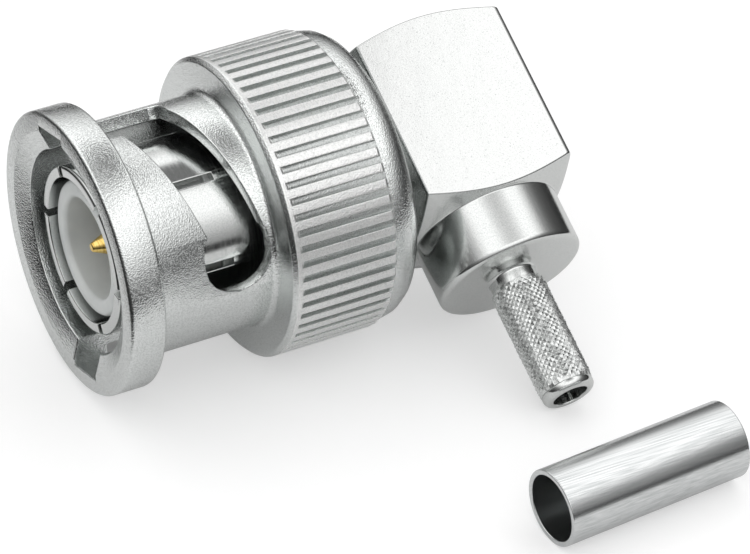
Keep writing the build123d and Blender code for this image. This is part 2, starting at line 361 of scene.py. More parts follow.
def whitePlastic():
    # Turned white plastic, slightly waxy, in mid-grey tones that are painted shade for its place deep in the
    # nut
    material, tree, shader = newMaterial("whitePlastic")
    lines = toolMarks(tree, shadedPlasticFinish, detail=2.0)
    cloud = noise(tree, objectPlace(tree), shadedPlasticFinish["cloud"])
    tone = remap(tree, cloud, *shadedPlasticFinish["cloudSpan"], *shadedPlasticFinish["cloudTone"])
    colour = shade(tree, tone, shadedPlasticFinish["dark"], shadedPlasticFinish["light"])
    tree.links.new(colour, shader.inputs["Base Color"])
    shader.inputs["Roughness"].default_value = shadedPlasticFinish["roughness"]
    shader.inputs["Subsurface Weight"].default_value = shadedPlasticFinish["waxy"]
    shader.inputs["Subsurface Scale"].default_value = shadedPlasticFinish["waxyDepth"] * mm
    shader.inputs["Subsurface Radius"].default_value = (1.0, 1.0, 1.0)
    tree.links.new(bump(tree, lines, shadedPlasticFinish["lineDepth"]), shader.inputs["Normal"])
    return material


rubberFinish = {
    "dark": (0.012, 0.012, 0.012),
    "light": (0.035, 0.034, 0.033),
    "grain": 0.10,
    "grainDepth": 0.004,
    "roughness": (0.55, 0.75),
}


def sealRubber():
    material, tree, shader = newMaterial("sealRubber")
    grain = noise(tree, objectPlace(tree), rubberFinish["grain"])
    colour = shade(tree, grain, rubberFinish["dark"], rubberFinish["light"])
    tree.links.new(colour, shader.inputs["Base Color"])
    tree.links.new(remap(tree, grain, *patternSpan, *rubberFinish["roughness"]), shader.inputs["Roughness"])
    tree.links.new(bump(tree, grain, rubberFinish["grainDepth"]), shader.inputs["Normal"])
    return material


# The elbow's own axes: the stem hangs down from the mating axis at the roll that the record's mount gives
mounts = {mount["name"]: mount for mount in frame["record"]["mounts"]}
stemDown = Vector(mounts["crimp_stem"]["axis"])
roll = atan2(-stemDown.z, -stemDown.y)
elbowTurn = Matrix.Rotation(roll, 4, "X")  # its -Y runs down the stem and its Z faces up
ferruleWay = -Vector(mounts["ferrule_bore"]["axis"])
ferruleYaw = atan2(ferruleWay.y, ferruleWay.x)

finishes = {
    "nickel_die_cast": castNickel("castNickel", castFinish),
    "nickel_turned": turnedNickel("turnedNickel"),
    "nickel_drawn": drawnNickel(ferruleYaw),
    "ptfe": whitePlastic(),
    "gold": goldPlate(),
    "gasket_rubber": sealRubber(),
    "spring_bronze": springStrip(),
}
stemNickel = turnedNickel("stemNickel", (-roll, 0, pi / 2))
blockNickel = barNickel()
# Painted light on the knurl's ridges and painted shade in its grooves
litRidgeNickel = castNickel("litRidgeNickel", litRidgeFinish)
shadedGrooveNickel = castNickel("shadedGrooveNickel", shadedGrooveFinish)
# Painted shade for faces turned away into shadow
paintedShadeNickel = castNickel("paintedShadeNickel", paintedShadeFinish)
knurlNickel = castNickel("knurlNickel", knurlFinish)

for part in frame["record"]["subparts"]:
    node = nodes[part["node"]]
    node.data.materials.clear()
    node.data.materials.append(finishes[part["material_slot"]])
print("finishes made:", len(bpy.data.materials))


# Shape helpers
def filledOutline(bm, outline):
    # A face in the XY plane from points (x, y, round): a round trims the corner to an arc
    corners = [(bm.verts.new((x, y, 0)), size) for x, y, size in outline]
    bm.faces.new([vert for vert, size in corners])
    for vert, size in corners:
        if size:
            bmesh.ops.bevel(bm, geom=[vert], offset=size, offset_type="OFFSET", segments=4, profile=0.5,
                            affect="VERTICES", clamp_overlap=False, material=-1)


def spinOutline(outline, steps, axis=(1, 0, 0), centre=(0, 0, 0)):
    # A closed turned shape from half of its section
    bm = bmesh.new()
    filledOutline(bm, outline)
    bmesh.ops.delete(bm, geom=bm.faces[:], context="FACES_ONLY")
    bmesh.ops.spin(bm, geom=bm.verts[:] + bm.edges[:], axis=axis, cent=centre, angle=2 * pi, steps=steps,
                   use_merge=True)
    bmesh.ops.remove_doubles(bm, verts=bm.verts, dist=0.001)
    bmesh.ops.dissolve_degenerate(bm, edges=bm.edges, dist=0.0005)
    bmesh.ops.recalc_face_normals(bm, faces=bm.faces)
    return bm


def prism(outline, z0, z1):
    bm = bmesh.new()
    filledOutline(bm, outline)
    bmesh.ops.translate(bm, verts=bm.verts, vec=(0, 0, z0))
    made = bmesh.ops.extrude_face_region(bm, geom=bm.faces[:])["geom"]
    moved = [item for item in made if isinstance(item, bmesh.types.BMVert)]
    bmesh.ops.translate(bm, verts=moved, vec=(0, 0, z1 - z0))
    bmesh.ops.recalc_face_normals(bm, faces=bm.faces)
    return bm


def rod(radius, x0, x1, segments=128):
    # A round cutter along X
    bm = bmesh.new()
    bmesh.ops.create_cone(bm, cap_ends=True, segments=segments, radius1=radius, radius2=radius, depth=x1 - x0)
    bmesh.ops.rotate(bm, verts=bm.verts, cent=(0, 0, 0), matrix=Matrix.Rotation(pi / 2, 3, "Y"))
    bmesh.ops.translate(bm, verts=bm.verts, vec=((x0 + x1) / 2, 0, 0))
    return bm


def rotateAll(bm, angle, axis="X"):
    bmesh.ops.rotate(bm, verts=bm.verts, cent=(0, 0, 0), matrix=Matrix.Rotation(angle, 3, axis))
    return bm


def carve(bm, tools, operation="DIFFERENCE"):
    # Booleans on a copy in the scene, read back as one mesh
    def toObject(shape):
        mesh = bpy.data.meshes.new("carving")
        shape.to_mesh(mesh)
        shape.free()
        made = bpy.data.objects.new("carving", mesh)
        scene.collection.objects.link(made)
        return made

    target = toObject(bm)
    toolObjects = [toObject(tool) for tool in tools]
    for tool in toolObjects:
        modifier = target.modifiers.new("carve", "BOOLEAN")
        modifier.operation = operation
        modifier.solver = "EXACT"
        modifier.object = tool
    result = bmesh.new()
    result.from_mesh(target.evaluated_get(bpy.context.evaluated_depsgraph_get()).to_mesh())
    for made in [target] + toolObjects:
        mesh = made.data
        bpy.data.objects.remove(made)
        bpy.data.meshes.remove(mesh)
    bmesh.ops.remove_doubles(result, verts=result.verts, dist=0.004)
    bmesh.ops.dissolve_degenerate(result, edges=result.edges, dist=0.002)
    return result


def easeEdges(bm, width, sharpest=35, segments=2, inside=None):
    # Rounds the convex edges that turn by more than an angle
    edges = [edge for edge in bm.edges if edge.is_manifold and edge.is_convex]
    edges = [edge for edge in edges if edge.calc_face_angle(0) > radians(sharpest)]
    if inside:
        edges = [edge for edge in edges if inside((edge.verts[0].co + edge.verts[1].co) / 2)]
    bmesh.ops.bevel(bm, geom=edges, offset=width, offset_type="OFFSET", segments=segments, profile=0.5,
                    affect="EDGES", clamp_overlap=False, material=-1)
    bmesh.ops.remove_doubles(bm, verts=bm.verts, dist=0.001)
    return bm


def finishPiece(name, bm, materials, body, slot, *replaced, sharp=50):
    # Millimetres to metres, smooth shading with crisp flats, fixed to its body, and the parts it replaces
    # hidden
    bmesh.ops.scale(bm, verts=bm.verts, vec=(mm, mm, mm))
    mesh = bpy.data.meshes.new(name)
    bm.to_mesh(mesh)
    bm.free()
    mesh.shade_smooth()
    mesh.set_sharp_from_angle(angle=radians(sharp))
    for material in materials:
        mesh.materials.append(material)
    piece = bpy.data.objects.new(name, mesh)
    scene.collection.objects.link(piece)
    weighted = piece.modifiers.new("flatShading", "WEIGHTED_NORMAL")
    weighted.keep_sharp = True
    weighted.weight = 50
    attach(piece, body)
    if replaced:
        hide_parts(*replaced)
    print("piece made:", name, len(mesh.polygons), "faces")
    return piece


def extent(node):
    low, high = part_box(node)
    return low / mm, high / mm


# Coupling nut: cast flange and barrel, two bayonet ways, a straight knurl and a rounded rear
nut = {
    "flangeThickness": 1.77,
    "flangeRadius": 6.80,
    "flangeRound": 0.17,
    "mouthRadius": 5.85,
    "mouthDepth": 0.38,
    "mouthRound": 0.04,
    "bore": 4.90,
    "boreRound": 0.05,
    "barrelRadius": 5.58,
    "barrelLength": 5.93,
    "barrelRound": 0.08,
    "ringRoot": 0.30,
    "knurlLead": 0.41,
    "leadRound": 0.05,
    "knurlCount": 60,
    "columns": 5,  # columns of faces in each pitch of the knurl, two of them in the groove
    "grooveShare": 0.45,  # of the pitch
    "knurlDepth": 0.22,
    "grooveFloor": 0.80,  # share of the groove's width that is flat
    "grooveSlope": 0.20,
    "ridgeFall": 0.16,
    "bandDrop": 0.20,
    "bandWidth": 0.36,
    "knurlEase": 0.03,
    "grooveShadeDepth": 0.07,  # depth at which the painted shade of the grooves starts
    "rearWidth": 1.20,
    "rearRound": 1.188,
    "rearEdge": 0.1,
    "ribBore": 4.38,
    "ribThickness": 1.00,
    "recessRadius": 5.08,
    "recessDepth": 0.85,
    "keywayAngle": 72.4,
    "keywayWidth": 2.40,
    "keywayRadius": 5.97,
    "wayCorner": 0.45,
    "wayTurn": 90.0,
    "rampSteps": 30,
    "pocketRadius": 1.65,
    "pocketBend": 0.999,  # a round that filled its side would lose the side
    "pocketSpread": 0.40,
    "lip": 0.33,
    "frontRise": 1.70,
    "rearRise": 1.85,
    "cutStart": -3.0,
    "cutLap": 0.2,
    "cutInner": 4.475,
    "cutOuter": 6.19,
    "edgeRound": 0.07,
}


def bayonetWay(flangeRear, ringStart):
    # The tools that cut one way at angle 0: keyway and entry, ramp round a quarter turn, and pocket
    pocketX = ringStart - nut["pocketRadius"]
    frontEnd = pocketX - nut["pocketRadius"] + nut["lip"]
    rearStart = ringStart - nut["rearRise"]
    half = nut["keywayWidth"] / 2
    inner, outer = nut["cutInner"], nut["cutOuter"]

    start, lapped = nut["cutStart"], flangeRear + nut["cutLap"]
    keyway = prism([(start, -half, 0), (lapped, -half, 0), (lapped, half, 0), (start, half, 0)],
                   0.0, nut["keywayRadius"])
    corner = nut["wayCorner"]
    entry = prism([(flangeRear, -half, 0), (rearStart, -half, corner), (rearStart, half, corner),
                   (flangeRear, half, 0)], inner, outer)
    reach = nut["pocketRadius"]
    spread = nut["pocketSpread"] / 2
    side, bend = spread + reach, reach * nut["pocketBend"]
    front, rear = pocketX - reach, pocketX + reach
    pocket = prism([(front, -side, bend), (rear, -side, bend), (rear, side, bend), (front, side, bend)],
                   inner, outer)
    rotateAll(pocket, radians(nut["wayTurn"]))

    ramp = bmesh.new()
    keyHalfAngle = degrees(asin(half / nut["barrelRadius"]))

    def ends(share):
        turn = share * nut["wayTurn"]
        climb = min((turn - keyHalfAngle) / (nut["wayTurn"] - 2 * keyHalfAngle), 1)
        return frontEnd - nut["frontRise"] * (1 - climb), rearStart + nut["rearRise"] * share

    front, rear = ends(0)
    face = ramp.faces.new([ramp.verts.new(place) for place in
                           ((front, 0, inner), (rear, 0, inner), (rear, 0, outer), (front, 0, outer))])
    stepTurn = Matrix.Rotation(radians(nut["wayTurn"] / nut["rampSteps"]), 3, "X")
    for step in range(1, nut["rampSteps"] + 1):
        made = bmesh.ops.extrude_face_region(ramp, geom=[face])["geom"]
        if step > 1:
            bmesh.ops.delete(ramp, geom=[face], context="FACES_ONLY")
        face = next(item for item in made if isinstance(item, bmesh.types.BMFace))
        bmesh.ops.rotate(ramp, verts=face.verts, cent=(0, 0, 0), matrix=stepTurn)
        middle = (front + rear) / 2
        newEnds = ends(step / nut["rampSteps"])
        for vert in face.verts:
            vert.co.x = newEnds[0] if vert.co.x < middle else newEnds[1]
        front, rear = newEnds
    bmesh.ops.recalc_face_normals(ramp, faces=ramp.faces)
    return [keyway, entry, ramp, pocket]


def makeCouplingNut():
    low, high = extent("coupling_nut")
    flangeFront, rear, knurlRadius = low.x, high.x, high.y
    flangeRear = flangeFront + nut["flangeThickness"]
    ringStart = flangeRear + nut["barrelLength"]
    ringFront = ringStart + nut["ringRoot"]
    knurlStart = ringFront + nut["knurlLead"]
    knurlEnd = rear - nut["rearWidth"] - nut["bandWidth"]
    bandRadius = knurlRadius - nut["bandDrop"]
    ribRear = rear - nut["recessDepth"]
    lead = nut["knurlLead"] / 2
    outline = [
        (flangeFront, nut["mouthRadius"], nut["mouthRound"]),
        (flangeFront + nut["mouthDepth"], nut["bore"], nut["boreRound"]),
        (ribRear - nut["ribThickness"], nut["bore"], 0),
        (ribRear - nut["ribThickness"], nut["ribBore"], nut["rearEdge"]),
        (ribRear, nut["ribBore"], nut["rearEdge"]),
        (ribRear, nut["recessRadius"], 0),
        (rear, nut["recessRadius"], nut["rearEdge"]),
        (rear, bandRadius, nut["rearRound"]),
        (knurlEnd, bandRadius, 0),
        (knurlEnd - nut["ridgeFall"], knurlRadius, 0),
        (knurlStart, knurlRadius, 0),
        (knurlStart - lead, knurlRadius, nut["leadRound"]),
        (ringFront, knurlRadius - lead, nut["leadRound"]),
        (ringFront, nut["barrelRadius"], nut["ringRoot"]),
        (flangeRear, nut["barrelRadius"], nut["barrelRound"]),
        (flangeRear, nut["flangeRadius"], nut["flangeRound"]),
        (flangeFront, nut["flangeRadius"], nut["flangeRound"]),
    ]
    steps = nut["knurlCount"] * nut["columns"]
    bm = spinOutline(outline, steps)
    pitch = 2 * pi / nut["knurlCount"]
    column = pitch / nut["columns"]

    def offGroove(place):
        # Angle from the middle of the nearest groove
        angle = atan2(place.z, place.y)
        return angle - round(angle / pitch) * pitch

    for vert in bm.verts:
        off = offGroove(vert.co)
        if 0.5 < abs(off) / column < 1.5:
            aside = nut["grooveShare"] * pitch / 2 - column
            vert.co.rotate(Matrix.Rotation(aside if off > 0 else -aside, 3, "X"))

    for way in range(2):
        tools = bayonetWay(flangeRear, ringStart)
        for tool in tools:
            # The tools start at 90 degrees, where the radius is Z
            rotateAll(tool, radians(nut["keywayAngle"] - 90 + 180 * way))
        bm = carve(bm, tools)
    easeEdges(bm, nut["edgeRound"], inside=lambda place: place.x < ringStart)

    grooves = []
    for face in bm.faces:
        place = face.calc_center_median()
        onTop = place.yz.length > bandRadius and knurlStart < place.x < knurlEnd
        if onTop and abs(offGroove(place)) < column:
            grooves.append(face)
    made = bmesh.ops.extrude_face_region(bm, geom=grooves)["geom"]
    bmesh.ops.delete(bm, geom=grooves, context="FACES")
    floorRadius = knurlRadius - nut["knurlDepth"]
    for vert in [item for item in made if isinstance(item, bmesh.types.BMVert)]:
        off = offGroove(vert.co)
        angle = atan2(vert.co.z, vert.co.y) - off * (1 - nut["grooveFloor"])
        slope = nut["grooveSlope"] if vert.co.x < knurlStart + hair else 0
        vert.co = (vert.co.x + slope, floorRadius * cos(angle), floorRadius * sin(angle))
    bmesh.ops.recalc_face_normals(bm, faces=bm.faces)
    easeEdges(bm, nut["knurlEase"],
              inside=lambda place: place.x > knurlStart - hair and place.yz.length > bandRadius)
    for face in bm.faces:
        place = face.calc_center_median()
        turned = place.yz.length
        # Painted light and shade on the knurl: faces deep in the grooves get the darker copy, the rest the
        # lighter one
        if knurlStart - lead < place.x < knurlEnd and turned > floorRadius - 2 * hair:
            deep = turned < knurlRadius - nut["grooveShadeDepth"] and abs(face.normal.x) < 0.5
            face.material_index = 2 if deep else 1
        elif place.x > ribRear - 2 * hair and face.normal.x > 0.75:
            # Painted shade on the nut's rear face
            face.material_index = 3
    skins = [finishes["nickel_die_cast"], litRidgeNickel, shadedGrooveNickel, paintedShadeNickel]
    finishPiece("castNut", bm, skins, "nut", "nickel_die_cast", "coupling_nut")


makeCouplingNut()

# Outer contact: one turned bar, slotted at the front, with the shoulder and neck behind the nut
contact = {
    "radius": 4.05,
    "bore": 3.50,
    "sleeveLength": 8.35,
    "steps": 180,
    "tipRound": 0.15,
    "edgeRound": 0.06,
    "shoulderRound": 0.10,
    "slotEase": 0.03,
    "slotCount": 6,
    "slotWidth": 0.40,
    "slotLength": 5.85,
    "slotStart": 30.0,
    "sawStart": -2.0,
    "sawReach": 6.0,
    "shankRadius": 4.30,
    "ringGroove": (9.94, 10.58, 3.80),  # front, rear and radius
    "shoulder": (13.44, 14.19, 5.00),
    "neckRadius": 3.70,
    "neckRear": 15.28,
    "spigotRadius": 3.00,
    "dielectricRadius": 2.26,
    "footRear": 7.60,
}


def makeOuterContact():
    low, high = extent("outer_contact")
    grooveFront, grooveRear, grooveRadius = contact["ringGroove"]
    shoulderFront, shoulderRear, shoulderRadius = contact["shoulder"]
    bm = spinOutline([
        (0, contact["radius"], contact["tipRound"]),
        (contact["sleeveLength"], contact["radius"], 0),
        (contact["sleeveLength"], contact["shankRadius"], contact["edgeRound"]),
        (grooveFront, contact["shankRadius"], 0),
        (grooveFront, grooveRadius, 0),
        (grooveRear, grooveRadius, 0),
        (grooveRear, contact["shankRadius"], 0),
        (shoulderFront, contact["shankRadius"], 0),
        (shoulderFront, shoulderRadius, contact["edgeRound"]),
        (shoulderRear, shoulderRadius, contact["shoulderRound"]),
        (shoulderRear, contact["neckRadius"], contact["shoulderRound"]),
        (contact["neckRear"], contact["neckRadius"], 0),
        (contact["neckRear"], contact["spigotRadius"], 0),
        (high.x, contact["spigotRadius"], contact["shoulderRound"]),
        (high.x, contact["dielectricRadius"], 0),
        (contact["footRear"], contact["dielectricRadius"], 0),
        (contact["footRear"], contact["bore"], 0),
        (0, contact["bore"], contact["edgeRound"]),
    ], contact["steps"])
    half, start, end = contact["slotWidth"] / 2, contact["sawStart"], contact["slotLength"]
    saws = []
    for saw in range(contact["slotCount"] // 2):
        blade = prism([(start, -half, 0), (end, -half, 0), (end, half, 0), (start, half, 0)],
                      -contact["sawReach"], contact["sawReach"])
        angle = radians(contact["slotStart"] + 360 / contact["slotCount"] * saw) + roll
        saws.append(rotateAll(blade, angle - pi / 2))
    bm = carve(bm, saws)
    easeEdges(bm, contact["slotEase"], inside=lambda place: place.x < contact["sleeveLength"])
    finishPiece("slottedContact", bm, [finishes["nickel_turned"]], "plug", "nickel_turned", "outer_contact")


makeOuterContact()

# Front insulator and the pin inside it
insulator = {
    "bore": 2.43,
    "tubeRadius": 3.25,
    "rimRound": 0.24,
    "boreEnd": 5.60,
    "footRound": 0.05,
    "floorRound": 0.2,
    "collarRadius": 1.07,
    "collarFront": 6.80,
    "pinHole": 0.87,
    "steps": 144,
}
pin = {
    "radius": 0.675,
    "noseRadius": 0.20,
    "coneLength": 1.15,
    "shankStart": 5.62,
    "shankRadius": 0.85,
    "collar": (6.82, 7.60, 1.05),  # front, rear and radius
    "round": 0.05,
    "endRound": 0.08,
    "solderSlot": (1.50, 0.55),  # length and width
    "steps": 72,
}


def makeInsulator():
    low, high = extent("front_insulator")
    bm = spinOutline([
        (low.x, insulator["bore"], insulator["rimRound"]),
        (low.x, insulator["tubeRadius"], insulator["rimRound"]),
        (insulator["boreEnd"], insulator["tubeRadius"], 0),
        (insulator["boreEnd"], high.y, insulator["footRound"]),
        (high.x, high.y, insulator["footRound"]),
        (high.x, insulator["collarRadius"], 0),
        (insulator["collarFront"], insulator["collarRadius"], 0),
        (insulator["collarFront"], insulator["pinHole"], 0),
        (insulator["boreEnd"], insulator["pinHole"], 0),
        (insulator["boreEnd"], insulator["bore"], insulator["floorRound"]),
    ], insulator["steps"])
    finishPiece("frontTube", bm, [finishes["ptfe"]], "plug", "ptfe", "front_insulator")


def makePin():
    low, high = extent("centre_contact")
    collarFront, collarRear, collarRadius = pin["collar"]
    bm = spinOutline([
        (low.x, 0, 0),
        (low.x, pin["noseRadius"], pin["round"]),
        (low.x + pin["coneLength"], pin["radius"], pin["endRound"]),
        (pin["shankStart"], pin["radius"], 0),
        (pin["shankStart"], pin["shankRadius"], 0),
        (collarFront, pin["shankRadius"], 0),
        (collarFront, collarRadius, pin["round"]),
        (collarRear, collarRadius, pin["round"]),
        (collarRear, pin["shankRadius"], 0),
        (high.x, pin["shankRadius"], pin["endRound"]),
        (high.x, 0, 0),
    ], pin["steps"])
    length, width = pin["solderSlot"]
    start, end = high.x - length, high.x + 1
    blade = prism([(start, -3, 0), (end, -3, 0), (end, 3, 0), (start, 3, 0)], -width / 2, width / 2)
    bm = carve(bm, [rotateAll(blade, roll)])
    finishPiece("goldPin", bm, [finishes["gold"]], "plug", "gold", "centre_contact")


makeInsulator()
makePin()

# Elbow body: square bar turned at both ends, with collar and crimp stem, and a diamond knurl on the stem
elbow = {
    "above": 4.93,
    "below": 4.46,
    "bevel": 21.0,
    "crownRadius": 3.30,
    "crownRound": 0.10,
    "barEdge": (0.12, 0.34),  # on the side of the nut and at the back
    "bodyEase": 0.08,
    "collarRadius": 3.61,
    "collarReach": 7.49,
    "collarRoot": 0.06,
    "collarRound": 0.27,
    "stemRadius": 1.335,
    "neckRadius": 1.17,
    "tipRadius": 1.29,
    "tipStep": 0.05,
    "stemReach": 14.07,
    "stemRoot": 0.14,
    "stemTip": 0.30,
    "stemBore": 0.85,
    "spigot": (3.02, 1.32),  # radius and depth
    "chamberRadius": 2.60,
    "capSeat": (3.22, 1.38),
    "cutReach": 20.0,  # past every side of the block
    "knurl": (8.10, 13.62),  # reach at its two ends
    "knurlPitch": 0.29,
    "knurlDepth": 0.068,
    "knurlFade": (3, 2),  # rows over which the points rise at the collar and fall at the tip
    "knurlFoot": 0.05,
    "knurlProud": 0.02,  # height of the points above the plain stem
    "steps": 144,
    "knurlWear": 0.022,  # mm by which points stray from an even pattern
}


def makeElbow():
    low, high = extent("elbow_body")
    stemX, width = (low.x + high.x) / 2, high.x - low.x
    reach = elbow["cutReach"]
    half, far = width / 2, width
    slope = tan(radians(elbow["bevel"]))
    top, bottom = elbow["above"], -elbow["below"]
    profile = [
        (stemX, -elbow["stemReach"], 0),
        (stemX, top + (half - elbow["crownRadius"]) * slope, 0),
        (stemX + elbow["crownRadius"], top + (half - elbow["crownRadius"]) * slope, elbow["crownRound"]),
        (stemX + far, top - (far - half) * slope, 0),
        (stemX + far, bottom + (far - half) * slope, 0),
        (stemX + elbow["collarRadius"], bottom - (half - elbow["collarRadius"]) * slope, elbow["collarRoot"]),
        (stemX + elbow["collarRadius"], -elbow["collarReach"], elbow["collarRound"]),
        (stemX + elbow["neckRadius"], -elbow["collarReach"], elbow["stemRoot"]),
        (stemX + elbow["neckRadius"], -elbow["knurl"][1] + elbow["tipStep"], 0),
        (stemX + elbow["tipRadius"], -elbow["knurl"][1], 0),
        (stemX + elbow["tipRadius"], -elbow["stemReach"], elbow["stemTip"]),
    ]
    bm = spinOutline(profile, elbow["steps"], axis=(0, 1, 0), centre=(stemX, 0, 0))
    near, back = elbow["barEdge"]
    bar = prism([(low.x, -half, near), (high.x, -half, back), (high.x, half, back), (low.x, half, near)],
                -reach, reach)
    rotateAll(bar, pi / 2)
    bm = carve(bm, [bar], "INTERSECT")
    spigotRadius, spigotDepth = elbow["spigot"]
    capRadius, capDepth = elbow["capSeat"]
    bore = rod(elbow["stemBore"], 0, reach, elbow["steps"] // 2)
    rotateAll(bore, -pi / 2, "Z")
    bmesh.ops.translate(bore, verts=bore.verts, vec=(stemX, 0, 0))
    bm = carve(bm, [
        rod(spigotRadius, low.x - 1, low.x + spigotDepth),
        rod(elbow["chamberRadius"], low.x + spigotDepth - 0.1, high.x - capDepth + 0.1),
        rod(capRadius, high.x - capDepth, high.x + 1),
        bore,
    ])
    easeEdges(bm, elbow["bodyEase"], segments=3)
    for face in bm.faces:
        place = face.calc_center_median()
        onBar = max(abs(place.x - stemX), abs(place.z)) > half - 2 * hair
        face.material_index = 1 if onBar else 0
        # Painted shade: the block's face towards the nut's rear gets the dark copy of the cast nickel
        if place.x < low.x + near and place.y > bottom and face.normal.x < -0.4:
            face.material_index = 2
    bmesh.ops.transform(bm, matrix=elbowTurn, verts=bm.verts)
    skins = [stemNickel, blockNickel, paintedShadeNickel]
    finishPiece("elbowBlock", bm, skins, "plug", "nickel_turned", "elbow_body")


def makeStemKnurl():
    # Rings of points, every other one raised, joined by faces that fold along the valleys
    low, high = extent("elbow_body")
    stemX = (low.x + high.x) / 2
    start, end = elbow["knurl"]
    pitch, deep, wear = elbow["knurlPitch"], elbow["knurlDepth"], elbow["knurlWear"]
    rise, fall = elbow["knurlFade"]
    rows = round((end - start) / pitch) * 2
    columns = round(2 * pi * elbow["stemRadius"] / pitch) * 2
    foot = elbow["neckRadius"] - elbow["knurlFoot"]
    lowRadius = elbow["stemRadius"] + elbow["knurlProud"] - deep
    stray = Random(4)
    knurl = bmesh.new()
    rings = []
    for row in range(rows + 1):
        ring = []
        for column in range(columns):
            peak = (row + column) % 2 == 1
            fade = min(row / rise, (rows - row) / fall, 1)
            radius = lowRadius + (deep * fade + stray.uniform(-1, 0.4) * wear if peak else 0)
            angle = (column + stray.uniform(-1, 1) * wear / pitch * 2) / columns * 2 * pi
            along = (row / rows - 0.5) * (end - start)
            if 0 < row < rows:
                along += stray.uniform(-1, 1) * wear
            ring.append(knurl.verts.new((radius * cos(angle), radius * sin(angle), along)))
        rings.append(ring)
    for row in range(rows):
        for column in range(columns):
            after = (column + 1) % columns
            near, nearNext = rings[row][column], rings[row][after]
            far, farNext = rings[row + 1][column], rings[row + 1][after]
            if (row + column) % 2 == 0:
                knurl.faces.new((near, nearNext, farNext))
                knurl.faces.new((near, farNext, far))
            else:
                knurl.faces.new((near, nearNext, far))
                knurl.faces.new((nearNext, farNext, far))
    for rim in (-1, 1):
        edges = [edge for edge in knurl.edges if edge.is_boundary and edge.verts[0].co.z * rim > 0]
        made = bmesh.ops.extrude_edge_only(knurl, edges=edges)["geom"]
        ring = [item for item in made if isinstance(item, bmesh.types.BMVert)]
        bmesh.ops.scale(knurl, verts=ring, vec=(foot / lowRadius, foot / lowRadius, 1))
    bmesh.ops.bridge_loops(knurl, edges=[edge for edge in knurl.edges if edge.is_boundary])
    bmesh.ops.recalc_face_normals(knurl, faces=knurl.faces)
    rotateAll(knurl, pi / 2)
    bmesh.ops.translate(knurl, verts=knurl.verts, vec=(stemX, -(start + end) / 2, 0))
    bmesh.ops.transform(knurl, matrix=elbowTurn, verts=knurl.verts)
    finishPiece("stemKnurl", knurl, [knurlNickel], "plug", "nickel_turned", sharp=12)


makeElbow()
makeStemKnurl()

# Access cap, pressed into the back of the elbow
cap = {"innerRound": 0.05, "rim": 0.20, "steps": 128}


def makeCap():
    low, high = extent("access_cap")
    bm = spinOutline([
        (low.x, 0, 0),
        (low.x, high.y, cap["innerRound"]),
        (high.x, high.y, cap["rim"]),
        (high.x, 0, 0),
    ], cap["steps"])
    finishPiece("pressedCap", bm, [finishes["nickel_turned"]], "plug", "nickel_turned", "access_cap")


makeCap()

# Crimp ferrule: plain drawn tube with eased rims, lying beside the stem
ferrule = {"radius": 1.85, "wall": 0.26, "length": 9.70, "rim": 0.06, "steps": 128}


def makeFerrule():
    middle = Vector(mounts["ferrule_bore"]["pos_m"]) / mm
    half = ferrule["length"] / 2
    inner = ferrule["radius"] - ferrule["wall"]
    bm = spinOutline([
        (-half, inner, ferrule["rim"]),
        (-half, ferrule["radius"], ferrule["rim"]),
        (half, ferrule["radius"], ferrule["rim"]),
        (half, inner, ferrule["rim"]),
    ], ferrule["steps"])
    rotateAll(bm, ferruleYaw, "Z")
    bmesh.ops.translate(bm, verts=bm.verts, vec=middle)
    finishPiece("drawnFerrule", bm, [finishes["nickel_drawn"]], "plug", "nickel_drawn", "crimp_ferrule")


makeFerrule()


def makeWaveWashers():
    for name in ("front_wave_washer", "rear_wave_washer"):
        bm = bmesh.new()
        bm.from_mesh(nodes[name].data)
        bmesh.ops.scale(bm, verts=bm.verts, vec=(1 / mm, 1 / mm, 1 / mm))
        bmesh.ops.remove_doubles(bm, verts=bm.verts, dist=0.0005)
        piece = finishPiece(name + "Spring", bm, [finishes["spring_bronze"]], "plug", "spring_bronze", name)
        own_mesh(piece)


makeWaveWashers()


# Floor: white paper for the eye, and for the metal a pale board on it with a soft edge
paper = {
    "size": 3000.0,
    "colour": (0.64, 0.64, 0.64),
    "roughness": 0.9,
    "lift": 0.42,  # light seen by the eye alone, which brings the paper to white
    "gleam": 0.08,  # and the part of it that metal sees
    "boardCentre": (25.0, 8.0),
    "boardEdge": (32.8, 36.5),
    "boardStretch": 1.6,  # its length along Y against that along X
    "beyond": 0.03,  # tone past the board
    "shadowSpotCentre": (2.0, 1.2),  # painted shadow: under the mouth the lift is left out, so the floor is darker there
    "shadowSpotEdge": (1.2, 2.6),
}


